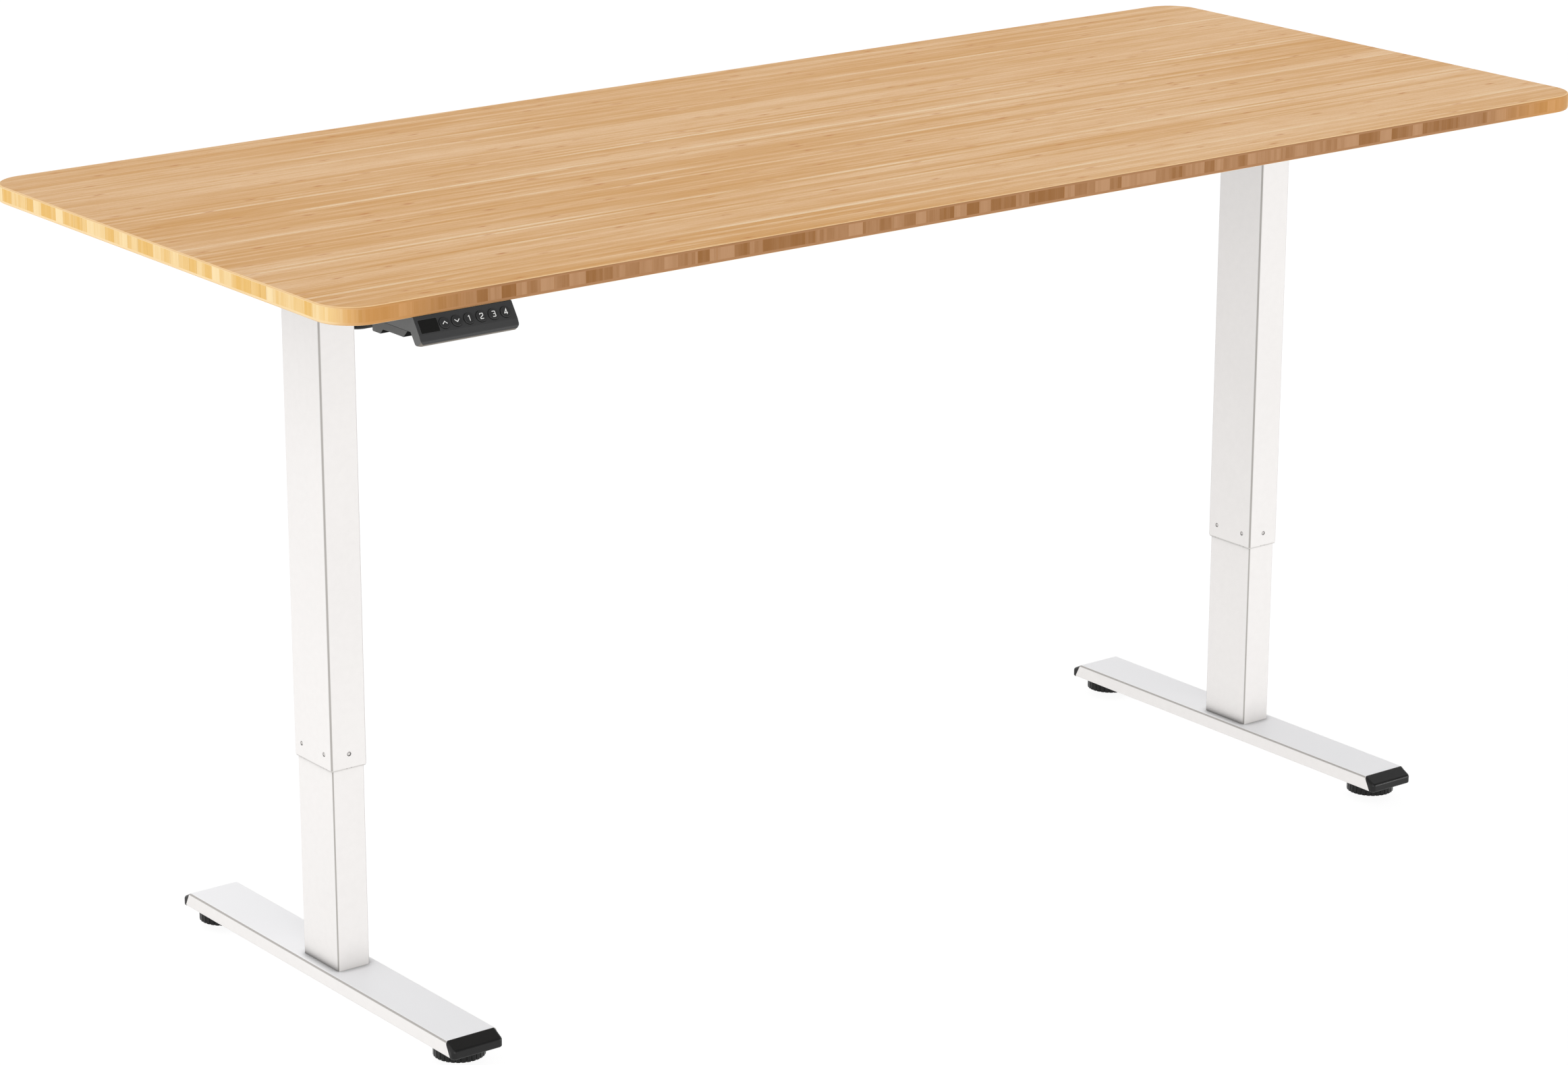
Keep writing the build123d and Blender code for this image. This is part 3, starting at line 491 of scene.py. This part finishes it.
def bamboo():
    """Bamboo board: strips on its faces, blocks on its edges and a painted highlight along the arris.

    The light that it throws on other pieces is grey, so that it doesn't tint the white columns.
    """
    material, tree, shader = new_material("bamboo")
    coordinates = node(tree, "TexCoord").outputs
    place = coordinates["Object"]
    normal = coordinates["Normal"]
    face_colour, height = bamboo_face(tree, place)
    edge_colour = bamboo_edge(tree, place, normal)
    upward = calc(tree, "ABSOLUTE", axes(tree, normal)[2])
    colour = mixed(tree, ramp(tree, upward, 0.70, 0.95), edge_colour, face_colour)
    below_face = ramp(tree, upward, 0.95, 0.999, 1.0, 0.0)
    # Painted highlight along the arris, where the top turns into the edge
    arris = calc(tree, "MULTIPLY", ramp(tree, upward, 0.68, 0.85), below_face)
    colour = mixed(tree, calc(tree, "MULTIPLY", arris, arris_highlight_share), colour, arris_highlight)
    seen = node(tree, "LightPath").outputs["Is Camera Ray"]
    colour = mixed(tree, seen, bamboo_bounce, colour)
    inputs = {"Distance": bamboo_relief, "Height": height, "Strength": bamboo_relief_strength}
    relief = node(tree, "Bump", inputs)
    tree.links.new(colour, shader.inputs["Base Color"])
    tree.links.new(ramp(tree, height, 0.2, 0.8, 0.38, 0.52), shader.inputs["Roughness"])
    tree.links.new(relief.outputs["Normal"], shader.inputs["Normal"])
    shader.inputs["Specular IOR Level"].default_value = bamboo_specular
    return material


# Finishes

def powder_coat(name, crevice_shade_values):
    """White powder coat, with painted shade at round corners, on sharp edges and where surfaces close in, and
    painted light on tops.
    """
    return finish(
        name,
        tone(238, 235, 233),
        tone(243, 240, 238),
        # Painted shade on sharp edges and round corners, and painted light on tops
        edge=tone(222, 218, 215),
        crevice_shade=tone(104, 102, 100),
        faces={"Corners": tone(176, 172, 168), "Tops": tone(252, 252, 254)},
        grain_values={"Size": 0.0011, "Depth": 0.00003, "Gloss": 0.42, "Gloss_Spread": 0.06},
        edge_values={"Reach": 0.0006},
        crevice_shade_values=crevice_shade_values,
    )


powder = powder_coat(
    "white_powder_coat",
    {"Reach": 0.05, "Open": 0.96, "Closed": 0.46, "Front_Loss": 0.75, "Top_Loss": 0.05},
)
foot_powder = powder_coat(
    "white_foot_powder_coat",
    {"Reach": 0.015, "Open": 0.95, "Closed": 0.4, "Front_Loss": 0.75, "Top_Loss": 0.3},
)
# Bush plastic: its grey, darker than the coat, also stands as painted shade at the mouths of the tubes, and it
# takes painted shade where surfaces close in
bush_plastic = finish(
    "white_bush_plastic",
    tone(206, 203, 200),
    tone(214, 211, 208),
    crevice_shade=tone(120, 117, 114),
    grain_values={"Size": 0.0006, "Depth": 0.00002, "Gloss": 0.48, "Edge": 0.0003},
    crevice_shade_values={"Reach": 0.002, "Open": 0.7, "Closed": 0.2},
)
moulded_black = finish(
    "black_moulded_plastic",
    tone(18, 18, 18),
    tone(23, 23, 23),
    edge=tone(44, 44, 43),
    grain_values={"Size": 0.0005, "Depth": 0.00004, "Gloss": 0.34, "Edge": 0.0010},
    drift_values={"Broad": 14.0, "Fine": 900.0},
    Specular_IOR_Level=0.35,
)
# Handset shell: painted light on the sides that face along X, a painted reflection of the floor on undersides and
# painted shade where surfaces close in
shell_black = finish(
    "black_handset_plastic",
    tone(50, 50, 51),
    tone(57, 57, 57),
    edge=tone(78, 77, 75),
    crevice_shade=tone(9, 9, 9),
    faces={"Ends": tone(84, 84, 83), "Undersides": tone(122, 114, 104)},
    grain_values={"Size": 0.0005, "Depth": 0.00003, "Gloss": 0.38, "Edge": 0.0006},
    drift_values={"Broad": 14.0, "Fine": 900.0},
    crevice_shade_values={"Reach": 0.0016, "Open": 0.85, "Closed": 0.35},
)
# Handset tray: painted light on the sides that face along X and painted shade on undersides
tray_black = finish(
    "black_tray_plastic",
    tone(50, 50, 51),
    tone(57, 57, 57),
    edge=tone(78, 77, 75),
    faces={"Ends": tone(108, 108, 107), "Undersides": tone(16, 16, 16)},
    grain_values={"Size": 0.0005, "Depth": 0.00003, "Gloss": 0.6, "Edge": 0.0004},
    drift_values={"Broad": 14.0, "Fine": 900.0},
    Specular_IOR_Level=0.03,
)
# Buttons: painted shade on the sharp edges and where surfaces close in
button_black = finish(
    "black_button_plastic",
    tone(36, 36, 37),
    tone(44, 44, 44),
    edge=tone(16, 16, 16),
    crevice_shade=tone(4, 4, 4),
    grain_values={"Size": 0.0003, "Depth": 0.00002, "Gloss": 0.36, "Edge": 0.0008},
    edge_values={"Reach": 0.0009},
    crevice_shade_values={"Reach": 0.002, "Open": 0.9, "Closed": 0.4},
)
# Glides: painted highlights on the sharp edges of the ribs, and painted shade where surfaces close in
glide_black = finish(
    "black_glide_plastic",
    tone(9, 9, 9),
    tone(16, 16, 16),
    edge=tone(86, 85, 83),
    crevice_shade=tone(3, 3, 3),
    grain_values={"Size": 0.0007, "Depth": 0.00003, "Gloss": 0.22},
    drift_values={"Broad": 40.0, "Fine": 500.0},
    edge_values={"Reach": 0.0007},
    crevice_shade_values={"Reach": 0.004},
    Specular_IOR_Level=0.3,
)
legend_paint = finish(
    "legend_paint",
    tone(232, 232, 230),
    tone(246, 246, 244),
    grain_values={"Size": 0.0004, "Depth": 0.00001, "Gloss": 0.5, "Edge": 0.00005},
)
window_gloss = finish(
    "smoked_window",
    tone(20, 20, 19),
    tone(26, 25, 24),
    grain_values={"Size": 0.006, "Depth": 0.000002, "Gloss": 0.13, "Edge": 0.0003},
    Specular_IOR_Level=0.3,
)
nut_plastic = finish(
    "natural_nut_plastic",
    tone(226, 223, 213),
    tone(236, 234, 226),
    grain_values={"Size": 0.0006, "Depth": 0.00002, "Gloss": 0.42},
)
zinc = finish(
    "zinc_plated_steel",
    tone(176, 177, 180),
    tone(205, 206, 208),
    edge=tone(222, 222, 222),
    grain_values={"Size": 0.0005, "Depth": 0.00002, "Gloss": 0.33, "Gloss_Spread": 0.16},
    drift_values={"Broad": 30.0, "Fine": 400.0},
    Metallic=1.0,
)
black_oxide = finish(
    "black_oxide_steel",
    tone(40, 40, 42),
    tone(58, 58, 60),
    edge=tone(110, 108, 105),
    grain_values={"Size": 0.0004, "Depth": 0.00002, "Gloss": 0.38},
    Metallic=0.8,
)
cast_aluminium = finish(
    "cast_aluminium",
    tone(168, 169, 172),
    tone(196, 197, 199),
    edge=tone(222, 222, 224),
    grain_values={"Size": 0.0009, "Depth": 0.00008, "Gloss": 0.5, "Gloss_Spread": 0.14},
    Metallic=1.0,
)
motor_paint = finish(
    "dark_motor_paint",
    tone(48, 49, 52),
    tone(60, 61, 64),
    edge=tone(96, 96, 98),
    grain_values={"Size": 0.0007, "Depth": 0.00003, "Gloss": 0.34},
)
socket_plastic = finish(
    "socket_plastic",
    tone(30, 30, 31),
    tone(38, 38, 39),
    edge=tone(66, 66, 66),
    grain_values={"Size": 0.0004, "Depth": 0.00002, "Gloss": 0.5},
)
board_green = finish(
    "circuit_board",
    tone(22, 74, 46),
    tone(40, 104, 64),
    grain_values={"Size": 0.0012, "Depth": 0.00004, "Gloss": 0.3},
    drift_values={"Broad": 180.0, "Fine": 900.0},
)

# Finish of each kind of material, and of the pieces that differ from their kind
finish_of_slot = {
    "bamboo": bamboo(),
    "white_steel": powder,
    "white_plastic": bush_plastic,
    "black_plastic": moulded_black,
    "button_plastic": button_black,
    "glide_plastic": glide_black,
    "nut_plastic": nut_plastic,
    "steel": zinc,
    "head_bolt_steel": black_oxide,
    "cast_aluminium": cast_aluminium,
    "motor_steel": motor_paint,
    "socket_plastic": socket_plastic,
    "board": board_green,
    "display": window_gloss,
}
finish_of_node = {
    "handset_body": shell_black,
    "handset_tray": tray_black,
    "foot_left": foot_powder,
    "foot_right": foot_powder,
}
for part in frame["record"]["subparts"]:
    mesh = cad[part["node"]].data
    mesh.materials.clear()
    slot_finish = finish_of_slot[part["material_slot"]]
    mesh.materials.append(finish_of_node.get(part["node"], slot_finish))


# Legends on the buttons

def button_face(button):
    """Frame of a button's face: its middle, with x to the right, y up the slope and z outwards."""
    outward = -Vector(joints[button + "_press"]["axis"])
    corners = [vertex.co for vertex in cad[button].data.vertices]
    furthest = max(corner @ outward for corner in corners)
    rim = [corner for corner in corners if furthest - corner @ outward < face_depth]
    middle = sum(rim, Vector()) / len(rim)
    right = Vector((1, 0, 0))
    up = outward.cross(right)
    turn = Matrix((right, up, outward)).transposed().to_4x4()
    return Matrix.Translation(middle) @ turn


def add_piece(name, mesh, body, material):
    """New piece that moves with a body."""
    piece = bpy.data.objects.new(name, mesh)
    bpy.context.scene.collection.objects.link(piece)
    mesh.materials.clear()
    mesh.materials.append(material)
    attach(piece, body)


def stroke_mesh(strokes):
    """Thin raised lines through points given in millimetres, as one mesh."""
    curve = bpy.data.curves.new("strokes", "CURVE")
    curve.dimensions = "2D"
    curve.bevel_depth = legend_stroke / 2
    curve.bevel_resolution = 1
    curve.use_fill_caps = True
    curve.fill_mode = "NONE"
    for points in strokes:
        line = curve.splines.new("POLY")
        line.points.add(len(points) - 1)
        for spot, (x, y) in zip(line.points, points):
            spot.co = (x / millimetres_in_metre, y / millimetres_in_metre, 0, 1)
    holder = bpy.data.objects.new("strokes", curve)
    bpy.context.scene.collection.objects.link(holder)
    mesh = bpy.data.meshes.new_from_object(holder)
    bpy.data.objects.remove(holder)
    mesh.transform(Matrix.Diagonal((1, 1, 2 * legend_rise / legend_stroke, 1)))
    return mesh


# Strokes of each legend, in millimetres from the middle of its button
legends = {
    "button_up": [[(-2.9, -1.4), (0, 1.4), (2.9, -1.4)]],
    "button_down": [[(-2.9, 1.4), (0, -1.4), (2.9, 1.4)]],
    "button_1": [[(-1.2, 2.0), (0.3, 2.9), (0.3, -2.9)]],
    "button_2": [
        [(-1.8, 1.7), (-1.8, 2.5), (-1.4, 2.9), (1.4, 2.9), (1.8, 2.5), (1.8, 0.7), (-1.8, -1.6),
         (-1.8, -2.9), (1.9, -2.9)],
    ],
    "button_3": [
        [(-1.8, 2.9), (1.4, 2.9), (1.8, 2.5), (1.8, 0.5), (1.4, 0.1), (1.8, -0.3), (1.8, -2.5),
         (1.4, -2.9), (-1.8, -2.9)],
        [(-0.7, 0.1), (1.4, 0.1)],
    ],
    "button_4": [[(0.8, -2.9), (0.8, 2.9), (-2.0, -1.3), (2.0, -1.3)]],
}
for button, strokes in legends.items():
    mesh = stroke_mesh(strokes)
    mesh.transform(button_face(button))
    add_piece("legend_" + button.split("_")[1], mesh, button, legend_paint)


# Floor, light and camera

def add_floor():
    """Pale floor, white to the camera and dimmer as a source of light. It is clear from below."""
    shape = bmesh.new()
    bmesh.ops.create_grid(shape, x_segments=1, y_segments=1, size=floor_half)
    bmesh.ops.translate(shape, verts=shape.verts, vec=(0.0, 0.0, -floor_drop))
    mesh = bpy.data.meshes.new("floor")
    shape.to_mesh(mesh)
    shape.free()
    floor = bpy.data.objects.new("floor", mesh)
    bpy.context.scene.collection.objects.link(floor)
    material, tree, shader = new_material("pale_floor")
    seen = node(tree, "LightPath").outputs["Is Camera Ray"]
    inputs = {"Value": seen, "To Min": floor_glow, "To Max": floor_white}
    glow = node(tree, "MapRange", inputs).outputs["Result"]
    shader.inputs["Base Color"].default_value = floor_colour
    shader.inputs["Roughness"].default_value = floor_roughness
    shader.inputs["Specular IOR Level"].default_value = 0.0
    shader.inputs["Emission Color"].default_value = white
    tree.links.new(glow, shader.inputs["Emission Strength"])
    from_below = node(tree, "NewGeometry").outputs["Backfacing"]
    tree.links.new(calc(tree, "SUBTRACT", 1.0, from_below), shader.inputs["Alpha"])
    mesh.materials.append(material)


def add_sky():
    """White surroundings, dimmer around one direction."""
    world = bpy.data.worlds.new("studio")
    world.use_nodes = True
    tree = world.node_tree
    ray = node(tree, "TexCoord").outputs["Generated"]
    along = dot(tree, ray, dim_direction)
    background = tree.nodes["Background"]
    background.inputs["Color"].default_value = white
    strength = ramp(tree, along, dim_starts, dim_full, sky_light, sky_dim)
    tree.links.new(strength, background.inputs["Strength"])
    bpy.context.scene.world = world


def add_softbox(name, place, aim, width, height, power):
    """Flat light at a place, turned towards its aim."""
    light = bpy.data.lights.new(name, "AREA")
    light.shape = "RECTANGLE"
    light.size = width
    light.size_y = height
    light.energy = power
    holder = bpy.data.objects.new(name, light)
    holder.location = place
    holder.rotation_euler = (Vector(aim) - Vector(place)).to_track_quat("-Z", "Y").to_euler()
    bpy.context.scene.collection.objects.link(holder)


add_floor()
add_sky()
for name, values in softboxes.items():
    add_softbox(name, *values)
bpy.context.scene.view_settings.view_transform = "Standard"

heading = radians(camera_heading)
pitch = radians(camera_pitch)
forward = Vector((sin(heading) * cos(pitch), cos(heading) * cos(pitch), sin(pitch)))
lens = bpy.data.cameras.new("camera")
lens.sensor_width = sensor_width
lens.lens = focal_pixels / image_width * sensor_width
lens.shift_x = (image_width / 2 - principal_x) / image_width
lens.shift_y = (principal_y - image_height / 2) / image_width
lens.clip_end = view_reach
camera = bpy.data.objects.new("camera", lens)
camera.location = camera_from_desk + Vector((0, top_middle_y, 0))
camera.rotation_euler = forward.to_track_quat("-Z", "Y").to_euler()
bpy.context.scene.collection.objects.link(camera)
bpy.context.scene.camera = camera
